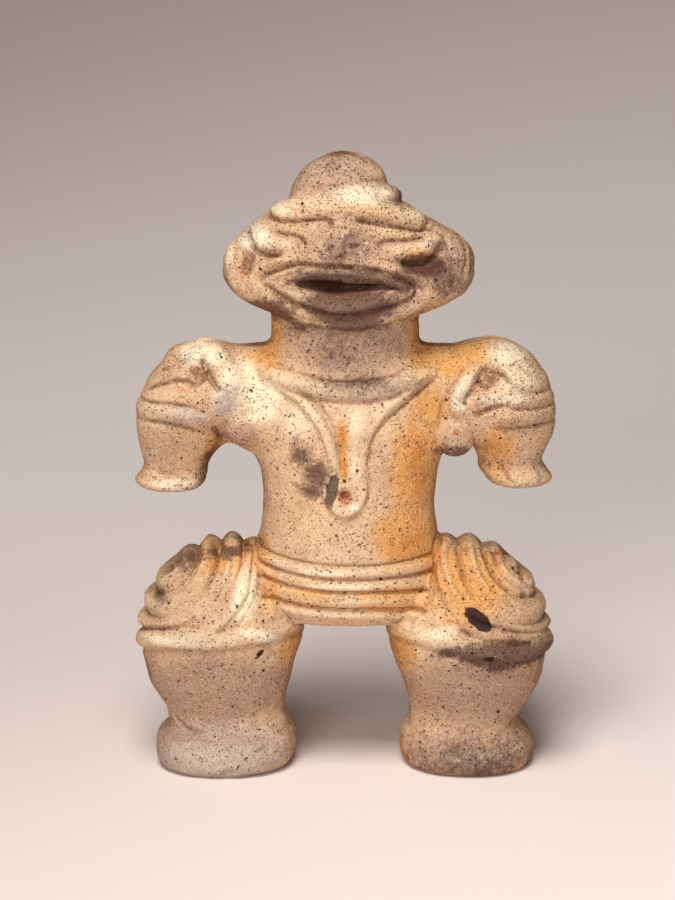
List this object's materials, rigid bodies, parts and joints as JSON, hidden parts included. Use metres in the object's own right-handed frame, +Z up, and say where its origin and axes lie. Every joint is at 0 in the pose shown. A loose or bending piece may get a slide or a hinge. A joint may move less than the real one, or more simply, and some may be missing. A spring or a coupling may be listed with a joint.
{
  "type": "clay figurine",
  "caption": "Hand-modelled fired clay figurine standing on two swollen legs, with puffed arms, a banded waist, rolled thighs and a wide face with a long mouth slit.",
  "frame": {"origin": "on the ground under the middle of the figure's bounding box", "axes": "+Z up from the soles to the crown, the face looks along -Y, +X towards the viewer's right"},
  "size_m": [0.1722, 0.0664, 0.2499],
  "materials": {
    "fired_clay": "matte, unglazed, gritty buff earthenware with fire clouds"
  },
  "bodies": {
    "root": {"figure": "fired_clay"}
  },
  "joints": []
}
